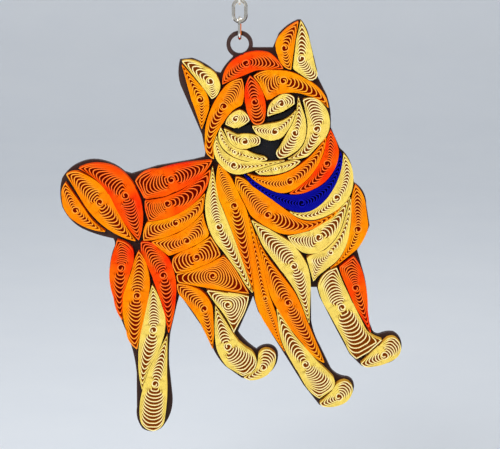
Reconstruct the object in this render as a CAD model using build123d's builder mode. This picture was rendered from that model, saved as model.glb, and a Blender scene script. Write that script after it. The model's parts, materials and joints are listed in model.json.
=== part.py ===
from build123d import *
import math
import os

os.makedirs("parts", exist_ok=True)

# Driving sizes (mm): the front looks towards -Y, +Z is up, the origin is the pin the chain hangs on
board_thickness = 1.4
board_margin = 0.25
paper_height = 2.0
black_paper_height = 1.0
seam = 0.05
figure_scale = 1.0
hole_radius = 1.65
ring_wall = 0.7
ring_centre = (0.1, 0.15)
wire = 0.6
link_side_play = 0.11
link_inner_length = 3.2
link_play = 0.08
link_facings = {"link_top": (1, 0, 0), "link_middle": (0, 1, 0), "link_lower": (1, 0, 0)}
eye_radius = 0.5
eye_share = 0.4
eye_sides = 5
slot_share = 0.5
slot_spacing = 7.0
slot_reach = (0.3, 0.9)
least_corner = 0.5
least_rise = 0.15

# The links pass over the board's edge, whose corners rest on the rising ends of the lowest link's bend
link_inner_width = board_thickness + 2 * link_side_play
link_bend = link_inner_width / 2
corner_rise = link_bend - math.sqrt(link_bend**2 - (board_thickness / 2) ** 2)
link_step = link_inner_length - link_play
hole_drop = len(link_facings) * link_step + hole_radius - link_play - wire / 2 - corner_rise

# Paper rolls: name -> (eye, sides from corner to corner, arms from the eye to the tips)
# All drawn points are x and z from the middle of the ring's hole
rolls = {
    "tail_roll_lower": (
        (-29.2, -29.4),
        [
            [(-31.0, -24.35), (-29.2, -26.7), (-27.6, -29.2), (-25.6, -31.9)],
            [
                (-23.9, -33.3), (-26.8, -32.75), (-29.5, -31.3), (-31.3, -29.3), (-31.75, -27.0),
                (-31.5, -25.1),
            ],
        ],
        [[(-31.0, -24.9)], [(-24.6, -33.0)]],
    ),
    "tail_roll_middle": (
        (-24.9, -28.0),
        [
            [
                (-30.9, -22.9), (-29.6, -22.4), (-27.6, -22.8), (-24.4, -25.0), (-22.7, -27.6),
                (-21.0, -31.0),
            ],
            [(-18.5, -35.05), (-20.6, -34.4), (-23.7, -32.7), (-26.0, -30.6), (-28.2, -27.5)],
        ],
        [[(-30.4, -23.1)], [(-19.2, -34.4)]],
    ),
    "tail_roll_upper": (
        (-20.4, -26.7),
        [
            [
                (-28.7, -21.8), (-26.8, -21.1), (-24.6, -21.0), (-22.2, -21.6), (-19.9, -23.3),
                (-18.2, -25.8), (-17.35, -28.6), (-17.2, -31.5),
            ],
            [(-18.0, -34.9), (-21.0, -31.0), (-22.7, -27.6), (-24.4, -25.0)],
        ],
        [[(-28.0, -21.9)], [(-18.0, -34.2)]],
    ),
    "back_roll": (
        (-12.1, -23.8),
        [
            [
                (-16.95, -27.45), (-17.9, -25.7), (-18.6, -24.1), (-18.1, -23.4), (-14.6, -22.1),
                (-11.5, -21.25), (-8.0, -20.7),
            ],
            [(-4.75, -20.35), (-5.7, -22.0), (-7.6, -23.8), (-10.2, -25.5), (-13.4, -26.9)],
        ],
        [[(-17.6, -25.4)], [(-8.2, -22.2), (-5.3, -20.8)]],
    ),
    "flank_roll_1": (
        (-12.7, -28.2),
        [
            [(-16.9, -27.6), (-13.4, -27.0), (-10.2, -25.7), (-7.6, -23.95)],
            [
                (-5.1, -22.0), (-5.45, -24.3), (-6.3, -26.1), (-8.2, -28.2), (-11.0, -30.0),
                (-13.8, -31.05),
            ],
            [(-16.2, -31.35), (-16.8, -29.6)],
        ],
        [[(-16.4, -29.5)], [(-8.2, -26.3), (-5.6, -23.0)]],
    ),
    "flank_roll_2": (
        (-11.3, -31.6),
        [
            [(-16.5, -31.5), (-13.8, -31.1), (-11.0, -30.05), (-8.2, -28.25)],
            [(-6.1, -26.3), (-6.2, -28.0)],
            [(-6.5, -29.6), (-8.6, -31.9), (-11.2, -33.5), (-14.2, -34.6)],
            [(-17.2, -34.9), (-17.1, -33.0)],
        ],
        [[(-16.5, -33.4)], [(-8.2, -29.8), (-6.4, -27.6)]],
    ),
    "flank_roll_3": (
        (-9.5, -34.9),
        [
            [(-15.8, -35.15), (-14.2, -34.75), (-11.2, -33.65), (-8.6, -31.95)],
            [(-6.45, -29.9), (-6.1, -31.6), (-5.5, -33.0)],
            [(-5.25, -34.0), (-6.9, -35.2), (-9.0, -36.3), (-11.0, -37.2)],
            [(-12.6, -37.7), (-13.8, -36.75), (-14.85, -35.9)],
        ],
        [[(-13.9, -36.0)], [(-6.4, -31.8)]],
    ),
    "flank_roll_4": (
        (-7.7, -38.0),
        [
            [(-11.9, -38.1), (-11.0, -37.3), (-9.0, -36.4), (-6.9, -35.3)],
            [(-5.1, -34.1), (-4.4, -35.0), (-3.8, -36.2)],
            [(-3.3, -37.5), (-4.6, -38.5), (-7.0, -39.6), (-9.3, -40.5)],
            [(-11.4, -40.8), (-12.0, -39.6)],
        ],
        [[(-11.4, -39.3)], [(-4.4, -36.5)]],
    ),
    "flank_roll_5": (
        (-4.7, -41.4),
        [
            [(-11.4, -40.95), (-9.3, -40.55), (-7.0, -39.65), (-4.6, -38.6)],
            [(-2.75, -37.7), (-1.5, -39.0), (-0.3, -40.8), (0.8, -42.7)],
            [(1.9, -44.7), (-0.8, -44.3), (-4.5, -43.8), (-8.0, -43.1)],
            [(-11.1, -42.6), (-11.35, -41.9)],
        ],
        [[(-11.0, -41.7)], [(1.2, -44.0)], [(-2.7, -38.3)]],
    ),
    "groin_roll": (
        (-6.3, -47.5),
        [
            [
                (-11.2, -42.85), (-9.2, -43.05), (-7.2, -43.8), (-5.7, -45.2), (-4.8, -47.0),
                (-4.55, -49.2), (-4.55, -52.0),
            ],
            [(-4.8, -54.8), (-5.7, -52.6), (-6.9, -50.2), (-8.4, -47.8), (-10.2, -45.5), (-11.0, -44.3)],
        ],
        [[(-10.8, -43.4)], [(-5.0, -53.6)]],
    ),
    "haunch_roll_1": (
        (-21.2, -39.9),
        [
            [
                (-21.9, -34.8), (-20.4, -35.25), (-19.1, -36.4), (-18.9, -37.8), (-19.25, -39.8),
                (-20.1, -42.2), (-20.9, -44.8), (-21.0, -47.0),
            ],
            [
                (-21.1, -49.5), (-21.9, -48.2), (-22.6, -45.4), (-23.25, -42.8), (-23.3, -40.0),
                (-22.8, -37.4), (-22.2, -35.8),
            ],
        ],
        [[(-21.4, -35.6)], [(-21.4, -48.4)]],
    ),
    "haunch_roll_2": (
        (-18.4, -45.0),
        [
            [
                (-18.05, -36.8), (-17.2, -37.9), (-16.4, -39.9), (-16.05, -42.2), (-16.2, -44.8),
                (-16.75, -47.6), (-17.4, -50.2), (-18.0, -52.6),
            ],
            [
                (-18.45, -54.9), (-19.6, -53.8), (-20.4, -51.3), (-20.95, -48.5), (-20.9, -44.8),
                (-20.1, -42.3), (-19.2, -40.0), (-18.65, -38.0),
            ],
        ],
        [[(-18.0, -37.7)], [(-18.6, -54.0)]],
    ),
    "haunch_roll_3": (
        (-13.6, -41.3),
        [
            [
                (-17.65, -35.2), (-15.9, -35.25), (-14.5, -36.3), (-12.9, -37.8), (-11.9, -40.0),
                (-11.35, -42.5), (-11.45, -45.5), (-11.9, -49.0),
            ],
            [
                (-12.75, -51.9), (-13.15, -49.8), (-13.8, -46.8), (-14.8, -44.0), (-15.85, -41.0),
                (-16.85, -38.6), (-17.65, -36.7),
            ],
        ],
        [[(-16.9, -36.1)], [(-12.7, -50.8)]],
    ),
    "shin_roll": (
        (-15.5, -51.3),
        [
            [
                (-15.65, -43.0), (-14.8, -44.4), (-13.85, -47.0), (-13.25, -49.8), (-13.5, -52.0),
                (-14.35, -54.6), (-15.75, -57.2), (-16.9, -59.9),
            ],
            [
                (-17.6, -62.4), (-18.1, -60.0), (-18.25, -56.5), (-18.0, -53.0), (-17.35, -50.0),
                (-16.75, -47.5), (-16.2, -44.8),
            ],
        ],
        [[(-15.6, -43.9)], [(-17.5, -61.3)]],
    ),
    "rear_foot_roll": (
        (-15.2, -61.3),
        [
            [
                (-13.0, -52.3), (-13.05, -55.5), (-13.1, -60.0), (-13.1, -64.0), (-13.5, -67.5),
                (-14.4, -69.5), (-15.6, -70.1), (-17.1, -69.5), (-18.0, -68.0), (-18.1, -65.6),
                (-17.6, -62.7), (-16.9, -60.0), (-15.75, -57.3), (-14.35, -54.7),
            ],
        ],
        [[(-13.4, -54.0)], [(-15.7, -69.5)]],
    ),
    "belly_roll": (
        (-2.0, -46.7),
        [
            [(-6.2, -43.75), (-3.0, -44.15), (0.0, -44.6)],
            [(1.8, -45.1), (1.3, -47.2), (0.2, -49.6)],
            [(-1.0, -51.9), (-2.2, -49.4), (-4.2, -46.6)],
        ],
        [[(-5.5, -44.2)], [(1.1, -45.7)], [(-1.1, -51.0)]],
    ),
    "middle_leg_roll": (
        (-2.1, -54.3),
        [
            [
                (-4.3, -46.8), (-3.0, -48.6), (-1.6, -51.1), (-0.3, -53.1), (1.4, -54.7),
                (2.9, -56.1), (3.15, -57.4), (2.6, -58.7), (1.6, -59.45),
            ],
            [
                (0.6, -59.8), (-0.6, -59.15), (-2.2, -58.1), (-3.4, -56.4), (-4.15, -54.6),
                (-4.45, -51.5), (-4.4, -49.0),
            ],
        ],
        [[(-3.9, -48.2)], [(1.9, -57.9)]],
    ),
    "middle_foot_roll": (
        (4.3, -58.2),
        [
            [
                (0.7, -60.1), (1.8, -59.5), (2.7, -58.75), (3.25, -57.4), (3.4, -56.0),
                (4.1, -55.05), (5.2, -54.85), (6.2, -55.3), (6.65, -56.6), (6.3, -58.1),
                (5.2, -59.5), (3.6, -60.35), (1.8, -60.6),
            ],
        ],
        [[(1.4, -60.1)], [(6.0, -55.9)]],
    ),
    "shoulder_sliver_roll": (
        (-3.6, -32.3),
        [
            [
                (-4.75, -21.5), (-4.3, -24.2), (-3.7, -27.3), (-2.5, -30.3), (-1.3, -33.3),
                (-0.2, -36.7), (1.0, -39.9), (1.9, -42.5),
            ],
            [
                (2.45, -44.5), (1.3, -43.2), (0.1, -41.1), (-1.3, -38.9), (-3.0, -36.7),
                (-4.8, -34.3), (-5.8, -31.4), (-6.1, -28.4), (-5.5, -25.2),
            ],
        ],
        [[(-4.75, -22.6)], [(1.9, -43.5)]],
    ),
    "neck_roll_left": (
        (-0.9, -28.6),
        [
            [
                (-3.7, -21.1), (-2.5, -22.1), (-1.35, -23.6), (-0.55, -25.5), (0.5, -27.5),
                (1.5, -29.9), (1.85, -33.0), (2.05, -36.5), (2.35, -40.0),
            ],
            [
                (2.6, -44.3), (1.9, -42.3), (1.0, -39.8), (-0.2, -36.6), (-1.3, -33.2),
                (-2.5, -30.2), (-3.65, -27.2), (-4.15, -24.2),
            ],
        ],
        [[(-3.4, -22.0)], [(2.3, -42.9)]],
    ),
    "foreleg_roll_inner": (
        (4.6, -45.4),
        [
            [
                (1.75, -30.6), (2.3, -32.2), (2.9, -33.9), (3.6, -36.5), (4.3, -39.5),
                (4.9, -42.5), (5.4, -44.8), (6.2, -46.6), (6.7, -48.4), (7.0, -50.7), (7.4, -53.0),
            ],
            [
                (8.2, -55.3), (6.4, -52.7), (4.8, -50.3), (3.5, -47.8), (2.8, -45.5),
                (2.65, -43.5), (2.35, -40.0), (2.05, -36.5), (1.85, -33.2),
            ],
        ],
        [[(2.1, -32.4)], [(7.8, -54.3)]],
    ),
    "foreleg_roll_outer": (
        (8.9, -46.3),
        [
            [
                (3.1, -33.9), (4.0, -36.0), (5.8, -38.9), (8.0, -41.6), (9.7, -43.9),
                (11.0, -46.4), (12.1, -49.4), (13.2, -52.3), (14.4, -54.9),
            ],
            [
                (15.4, -57.4), (13.7, -56.4), (11.4, -53.7), (9.0, -50.8), (7.0, -47.7),
                (5.5, -44.8), (4.95, -42.5), (4.35, -39.5), (3.65, -36.5),
            ],
        ],
        [[(4.1, -36.9)], [(14.8, -56.4)]],
    ),
    "chest_roll": (
        (9.8, -39.5),
        [
            [
                (2.15, -31.15), (3.6, -31.8), (5.4, -32.8), (7.6, -34.0), (9.4, -35.3),
                (11.0, -37.3), (12.2, -39.3), (12.75, -41.6), (12.8, -44.5), (12.75, -47.5),
            ],
            [
                (12.6, -50.1), (12.0, -48.7), (11.0, -46.0), (9.8, -43.6), (8.1, -41.2),
                (6.15, -38.6), (4.2, -35.8), (2.9, -33.2),
            ],
        ],
        [[(2.9, -32.0)], [(12.4, -48.9)]],
    ),
    "shoulder_roll": (
        (5.2, -30.2),
        [
            [
                (-0.6, -23.3), (0.6, -23.6), (2.2, -24.9), (4.2, -26.4), (6.2, -27.7),
                (8.2, -29.1), (9.8, -30.4), (12.0, -31.35), (14.2, -31.15), (16.4, -30.15),
            ],
            [
                (18.2, -28.7), (16.8, -30.6), (14.9, -31.85), (12.6, -33.0), (10.2, -33.65),
                (8.2, -33.75), (5.4, -32.6), (3.3, -31.4), (2.0, -30.3), (1.0, -28.5),
                (0.0, -26.2), (-0.72, -24.6),
            ],
        ],
        [[(-0.3, -24.2)], [(9.0, -32.0), (13.0, -32.0), (17.0, -30.0)]],
    ),
    "bib_roll_upper": (
        (17.4, -27.2),
        [
            [
                (18.6, -19.2), (19.8, -20.9), (20.35, -23.0), (20.3, -25.0), (19.9, -26.5),
                (18.9, -28.0), (17.4, -29.4), (15.6, -30.4), (13.6, -31.1), (11.5, -31.0),
            ],
            [
                (8.9, -29.6), (10.5, -29.85), (12.7, -29.55), (14.7, -28.25), (16.5, -26.0),
                (17.8, -23.2), (18.4, -20.7),
            ],
        ],
        [[(19.3, -23.6), (18.9, -20.4)], [(14.2, -29.9), (10.0, -30.1)]],
    ),
    "bib_roll_middle": (
        (14.3, -34.3),
        [
            [(8.6, -34.1), (10.4, -33.7), (12.6, -33.1), (14.9, -31.95), (16.8, -30.7), (18.4, -28.8)],
            [
                (19.8, -26.9), (19.3, -29.1), (18.5, -31.8), (17.0, -34.8), (15.2, -36.5),
                (13.0, -37.3), (11.2, -36.95), (9.7, -35.7),
            ],
        ],
        [[(9.4, -34.7)], [(17.2, -31.5), (19.4, -28.2)]],
    ),
    "bib_roll_lower": (
        (16.4, -37.0),
        [
            [(12.0, -37.9), (13.2, -37.4), (15.3, -36.6), (17.1, -34.85), (18.6, -31.9), (19.4, -29.1)],
            [
                (19.95, -27.2), (20.05, -30.0), (19.75, -33.2), (18.9, -36.4), (17.4, -38.8),
                (15.6, -40.3), (14.2, -41.3),
            ],
            [(13.3, -42.4), (12.95, -40.9), (12.4, -39.2)],
        ],
        [[(13.2, -40.6)], [(18.6, -33.6), (19.8, -28.6)]],
    ),
    "breast_roll": (
        (21.2, -32.9),
        [
            [
                (20.7, -24.8), (21.9, -26.2), (22.7, -28.6), (23.05, -31.0), (23.2, -32.4),
                (22.4, -34.5), (21.2, -36.4), (19.4, -38.0), (17.8, -39.2),
            ],
            [(16.3, -40.0), (17.9, -38.3), (19.1, -36.0), (19.8, -33.2), (20.1, -30.0), (20.1, -27.2)],
        ],
        [[(20.8, -26.0)], [(19.6, -36.8), (17.2, -39.4)]],
    ),
    "foreleg_roll_lower": (
        (12.0, -57.6),
        [
            [
                (6.75, -47.3), (8.1, -49.6), (9.9, -52.2), (12.15, -54.9), (14.2, -57.15),
                (15.8, -58.6), (17.0, -60.0), (17.3, -61.2), (16.3, -62.7),
            ],
            [
                (14.5, -64.0), (13.3, -63.2), (11.9, -61.5), (10.3, -58.9), (8.8, -56.0),
                (7.6, -53.2), (7.0, -50.3),
            ],
        ],
        [[(7.4, -49.4)], [(15.3, -62.5)]],
    ),
    "fore_foot_roll": (
        (18.0, -63.7),
        [
            [
                (14.5, -64.9), (15.5, -63.8), (16.8, -62.5), (17.6, -61.2), (19.0, -60.7),
                (20.2, -61.3), (20.5, -62.7), (19.8, -64.2), (18.2, -65.25), (16.2, -65.6),
                (15.0, -65.45),
            ],
        ],
        [[(15.2, -64.8)], [(20.0, -61.7)]],
    ),
    "far_leg_roll_outer": (
        (21.0, -43.6),
        [
            [(17.8, -39.75), (19.0, -38.7)],
            [(20.5, -37.8), (21.6, -39.4), (22.5, -41.9), (23.0, -44.6), (23.15, -47.6), (23.4, -50.0)],
            [(23.7, -51.8), (22.4, -49.9), (20.8, -46.9), (19.4, -43.9), (18.3, -41.2)],
        ],
        [[(20.2, -38.6)], [(23.3, -51.0)]],
    ),
    "far_leg_roll_inner": (
        (18.5, -47.2),
        [
            [(17.5, -39.8), (18.2, -41.25), (19.3, -43.95), (20.7, -47.0), (22.3, -50.0), (23.6, -52.0)],
            [(25.9, -53.1), (24.7, -54.2), (23.4, -55.4)],
            [
                (21.6, -56.9), (20.4, -56.0), (19.2, -53.8), (17.6, -51.0), (16.0, -47.9),
                (14.7, -45.4), (14.1, -43.3), (14.8, -41.6), (16.2, -40.3),
            ],
        ],
        [[(16.6, -41.0)], [(22.9, -54.5)]],
    ),
    "far_foot_roll": (
        (26.2, -56.0),
        [
            [
                (21.9, -57.5), (22.9, -56.3), (24.2, -55.0), (25.4, -53.8), (26.6, -52.8),
                (28.0, -52.7), (29.0, -53.7), (29.15, -55.2), (28.2, -56.6), (26.2, -57.6),
                (23.9, -58.1), (22.5, -58.0),
            ],
        ],
        [[(22.6, -57.4)], [(28.6, -53.7)]],
    ),
    "collar_roll": (
        (11.2, -28.1),
        [
            [
                (0.8, -22.85), (2.2, -23.9), (4.0, -25.0), (6.0, -26.0), (8.4, -26.5),
                (10.8, -26.5), (13.0, -25.75), (15.2, -24.5), (16.9, -22.4), (17.7, -20.4),
            ],
            [
                (18.1, -18.9), (18.4, -20.7), (17.8, -23.2), (16.5, -26.0), (14.7, -28.2),
                (12.7, -29.5), (10.4, -29.75), (8.4, -29.05), (6.2, -27.65), (4.2, -26.3),
                (2.2, -24.8),
            ],
        ],
        [[(6.0, -26.8), (1.7, -23.9)], [(15.8, -25.4), (18.0, -20.2)]],
    ),
    "neck_roll_front": (
        (9.1, -24.1),
        [
            [
                (1.4, -22.75), (3.2, -23.3), (5.4, -23.35), (7.8, -22.8), (10.2, -21.6),
                (12.4, -19.9), (14.2, -17.9),
            ],
            [
                (15.5, -16.1), (15.1, -18.7), (14.1, -21.1), (12.3, -23.6), (10.3, -25.25),
                (8.6, -26.2), (6.2, -25.95), (4.2, -25.0), (2.6, -23.9),
            ],
        ],
        [[(5.0, -24.5), (2.4, -23.3)], [(12.8, -21.0), (15.0, -17.4)]],
    ),
    "neck_roll_right": (
        (15.7, -21.0),
        [
            [
                (16.25, -14.9), (17.1, -16.5), (17.75, -18.6), (17.5, -20.7), (16.7, -22.5),
                (15.0, -24.5), (13.0, -25.65), (10.8, -26.4),
            ],
            [(8.9, -26.4), (10.35, -25.35), (12.35, -23.7), (14.1, -21.15), (15.15, -18.7), (15.55, -16.6)],
        ],
        [[(16.3, -16.2)], [(13.4, -24.1), (10.0, -26.1)]],
    ),
    "forehead_roll": (
        (1.3, -3.0),
        [
            [(-3.0, -6.8), (-2.5, -4.2), (-0.6, -2.1), (2.6, -0.95), (5.4, -1.2), (7.0, -2.6)],
            [(7.9, -4.0), (5.4, -4.05), (3.0, -4.25), (0.6, -5.2), (-1.5, -6.1)],
        ],
        [[(-2.5, -5.9)], [(7.1, -3.5)]],
    ),
    "cheek_roll_left": (
        (-2.8, -10.7),
        [
            [
                (0.5, -5.7), (0.95, -8.0), (0.6, -10.5), (-1.3, -11.6), (-2.6, -13.3),
                (-3.8, -15.2), (-4.6, -17.4), (-4.5, -19.1),
            ],
            [
                (-4.5, -20.2), (-5.6, -19.4), (-6.05, -17.0), (-6.0, -14.5), (-5.4, -12.2),
                (-4.3, -9.7), (-2.7, -7.4), (-1.1, -6.1),
            ],
        ],
        [[(-0.2, -6.9)], [(-4.8, -14.2), (-5.1, -19.0)]],
    ),
    "brow_roll": (
        (7.9, -6.1),
        [
            [
                (2.5, -5.3), (4.0, -4.45), (6.4, -4.25), (9.0, -4.5), (11.8, -5.8), (14.2, -7.5),
                (15.6, -9.5),
            ],
            [(15.9, -11.0), (14.2, -9.6), (11.8, -8.65), (9.2, -8.2), (6.8, -8.7)],
            [(4.9, -10.1), (4.45, -8.6), (3.5, -6.6)],
        ],
        [[(3.7, -6.2)], [(14.9, -9.2)]],
    ),
    "nose_bridge_roll": (
        (2.8, -9.8),
        [
            [
                (1.9, -5.2), (3.3, -6.5), (4.4, -8.8), (4.75, -11.2), (4.5, -13.1), (3.5, -14.0),
                (2.2, -13.4), (1.4, -11.8), (1.0, -9.4), (1.15, -6.9),
            ],
        ],
        [[(2.1, -6.2)], [(3.4, -13.2)]],
    ),
    "ear_roll_left_outer": (
        (-6.9, -9.4),
        [
            [(-10.15, -3.2), (-8.5, -4.9), (-6.8, -7.0), (-5.4, -9.5), (-5.4, -11.4), (-6.0, -13.3)],
            [(-6.65, -14.8), (-7.5, -12.7), (-8.4, -9.8), (-9.4, -6.1)],
        ],
        [[(-9.6, -4.3)], [(-6.5, -13.9)]],
    ),
    "ear_roll_left_inner": (
        (-5.2, -6.2),
        [
            [(-10.2, -2.6), (-8.4, -2.5), (-6.0, -3.75), (-4.0, -5.1), (-3.25, -6.9), (-3.8, -8.6)],
            [(-4.85, -9.4), (-5.8, -8.3), (-7.1, -6.4), (-8.7, -4.5)],
        ],
        [[(-9.4, -2.9)], [(-4.6, -8.8)]],
    ),
    "ear_roll_right_outer": (
        (8.1, -0.3),
        [
            [(10.5, 4.45), (8.65, 3.35), (7.3, 2.05), (6.4, 0.2), (6.8, -1.7), (7.9, -3.6)],
            [(9.2, -4.2), (9.5, -2.5), (9.8, 0.2), (10.2, 2.6)],
        ],
        [[(10.0, 3.8)], [(8.8, -3.8)]],
    ),
    "ear_roll_right_inner": (
        (11.0, -2.1),
        [
            [
                (10.9, 4.6), (11.7, 3.2), (12.5, 1.0), (13.2, -1.8), (13.75, -4.4), (13.4, -5.9),
                (12.0, -5.7), (10.7, -5.0),
            ],
            [(9.5, -4.0), (9.75, -1.5), (10.1, 1.2), (10.45, 3.2)],
        ],
        [[(10.95, 3.7)], [(12.8, -5.4)]],
    ),
    "eyelid_roll_left": (
        (-0.6, -12.9),
        [
            [(-2.5, -13.9), (-1.5, -12.1), (0.1, -11.3), (1.2, -11.9)],
            [(1.9, -13.2), (0.9, -14.0), (-0.9, -14.7)],
        ],
        [[(-1.9, -13.7)], [(1.3, -12.9)]],
    ),
    "eyelid_roll_right": (
        (7.4, -10.2),
        [
            [(5.0, -12.5), (5.3, -10.6), (6.7, -9.1), (8.6, -8.45), (9.8, -9.1)],
            [(9.9, -10.3), (8.2, -11.4), (6.5, -12.0)],
        ],
        [[(5.6, -11.7)], [(9.4, -9.6)]],
    ),
    "muzzle_roll_left": (
        (1.0, -16.9),
        [
            [
                (-2.75, -14.6), (-1.4, -15.2), (-0.3, -15.8), (1.6, -15.6), (3.1, -15.9),
                (3.85, -16.8), (3.3, -17.7),
            ],
            [(1.2, -18.4), (-0.5, -18.05), (-1.9, -16.8)],
        ],
        [[(-2.0, -15.6)], [(3.2, -16.8)]],
    ),
    "muzzle_roll_right": (
        (6.4, -15.1),
        [
            [(2.25, -14.25), (3.6, -14.1), (6.0, -13.7), (8.4, -12.9)],
            [(10.1, -11.4), (9.6, -13.2), (8.8, -14.7)],
            [(7.95, -15.95), (6.8, -16.65), (5.6, -16.9), (4.2, -16.45), (2.9, -15.5)],
        ],
        [[(3.0, -14.8)], [(9.4, -12.6)]],
    ),
    "lip_roll": (
        (-0.7, -18.9),
        [
            [
                (-3.3, -14.4), (-2.8, -15.1), (-1.95, -16.85), (-0.55, -18.1), (1.3, -18.5),
                (3.0, -19.35), (4.5, -19.7),
            ],
            [
                (5.15, -20.2), (3.4, -20.65), (1.4, -20.5), (-0.8, -19.8), (-2.6, -18.6),
                (-3.6, -17.0), (-3.75, -15.6),
            ],
        ],
        [[(-2.7, -17.0), (-3.3, -15.0)], [(2.0, -19.75), (4.7, -20.15)]],
    ),
    "jaw_roll": (
        (-0.9, -21.3),
        [
            [
                (-4.0, -15.9), (-3.65, -17.1), (-2.65, -18.7), (-0.85, -19.9), (1.3, -20.6),
                (3.3, -20.75), (5.4, -20.65),
            ],
            [
                (8.2, -20.4), (6.4, -21.05), (4.4, -21.65), (2.4, -22.2), (0.6, -22.85),
                (-1.4, -22.7), (-3.3, -21.2), (-4.4, -19.4), (-4.5, -17.4),
            ],
        ],
        [[(-3.3, -19.6), (-4.1, -17.0)], [(3.0, -21.4), (7.0, -20.8)]],
    ),
    "chin_roll": (
        (6.6, -21.85),
        [
            [(2.75, -22.3), (4.2, -21.8), (6.3, -21.15), (8.4, -20.55), (10.0, -20.25)],
            [(11.0, -20.5), (9.4, -21.85), (7.4, -22.65), (5.4, -23.05), (3.6, -22.95)],
        ],
        [[(3.4, -22.4)], [(10.3, -20.7)]],
    ),
    "muzzle_roll_side": (
        (10.0, -15.4),
        [
            [
                (10.5, -9.0), (11.1, -10.6), (11.7, -12.5), (11.95, -14.7), (11.65, -16.7),
                (10.9, -18.0), (9.6, -19.1), (8.3, -19.8), (7.2, -20.05), (6.65, -19.5),
                (7.05, -18.2), (7.6, -16.9), (8.8, -14.9), (9.75, -13.1), (10.25, -11.1),
            ],
        ],
        [[(10.7, -10.4)], [(7.4, -19.4)]],
    ),
    "cheek_roll_right": (
        (13.8, -14.8),
        [
            [
                (11.3, -9.5), (12.8, -9.1), (14.6, -9.95), (15.8, -11.8), (16.15, -13.6),
                (15.9, -15.2), (15.2, -16.5), (13.9, -18.1), (12.3, -19.6), (10.6, -20.1),
            ],
            [(8.6, -20.15), (10.1, -19.15), (11.5, -17.5), (12.1, -15.0), (11.85, -12.2)],
        ],
        [[(12.6, -10.4)], [(12.9, -17.3), (9.6, -19.9)]],
    ),
}

# Black paper shapes of the closed eyes and the open mouth
black_shapes = {
    "eye_left_black": [
        [(-1.4, -15.0), (0.2, -14.55)],
        [(2.05, -13.95), (2.3, -14.9)],
        [(2.85, -15.65), (1.0, -15.5), (-0.5, -15.6)],
    ],
    "eye_right_black": [
        [(4.8, -13.05), (6.4, -12.3), (8.6, -11.6)],
        [(10.0, -10.7), (9.1, -12.25), (7.0, -13.1)],
        [(4.95, -13.6)],
    ],
    "mouth_black": [
        [(4.0, -16.5), (4.9, -16.9), (6.0, -17.05), (7.0, -16.75)],
        [(7.6, -16.4), (7.15, -17.6), (6.7, -18.8)],
        [(6.5, -19.6), (6.9, -20.2)],
        [(8.2, -20.15), (6.9, -20.45)],
        [(5.4, -20.5)],
        [(5.25, -20.05), (4.6, -19.55), (3.2, -19.25), (2.2, -18.8)],
        [(1.5, -18.45), (2.9, -18.15), (3.7, -17.6)],
    ],
}

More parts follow.
